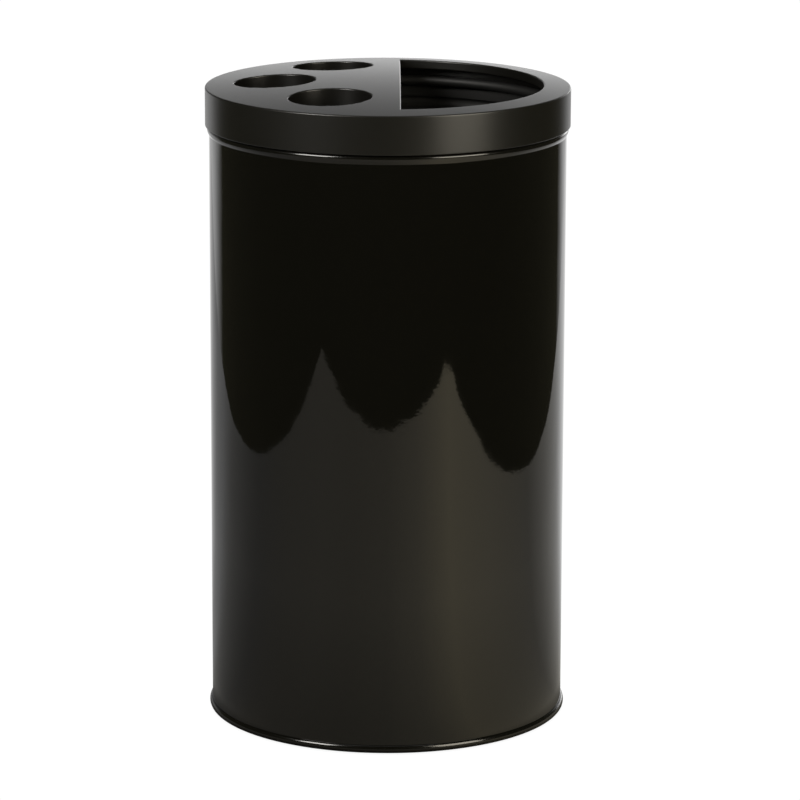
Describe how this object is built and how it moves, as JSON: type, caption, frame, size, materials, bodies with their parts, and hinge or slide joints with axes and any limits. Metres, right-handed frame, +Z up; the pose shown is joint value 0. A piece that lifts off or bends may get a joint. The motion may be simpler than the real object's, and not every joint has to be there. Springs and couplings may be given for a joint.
{
  "type": "umbrella stand",
  "caption": "Round umbrella stand: gloss steel drum under a lift-off satin lid with round umbrella holes and a half-moon opening, with a lift-out drip tray.",
  "frame": {"origin": "middle of the footprint, on the floor", "axes": "+Z up; -Y is the front; the half-moon opening is towards +X and the umbrella holes towards -X"},
  "size_m": [0.29, 0.29, 0.515],
  "materials": {
    "black_enamel": "high gloss",
    "satin_black_plastic": "satin, fine moulded grain",
    "tray_plastic": "matt",
    "foot_rubber": "matt"
  },
  "bodies": {
    "drum": {"body_shell": "black_enamel", "base_end": "black_enamel", "rubber_foot_1": "foot_rubber", "rubber_foot_2": "foot_rubber", "rubber_foot_3": "foot_rubber", "rubber_foot_4": "foot_rubber"},
    "lid": {"lid": "satin_black_plastic"},
    "drip_tray": {"drip_tray": "tray_plastic"}
  },
  "joints": [
    {"name": "lid_lift", "type": "slide", "parent": "drum", "child": "lid", "axis": [0, 0, 1], "range_m": [0, 0.12]},
    {"name": "tray_lift", "type": "slide", "parent": "drum", "child": "drip_tray", "axis": [0, 0, 1], "range_m": [0, 0.42]}
  ]
}
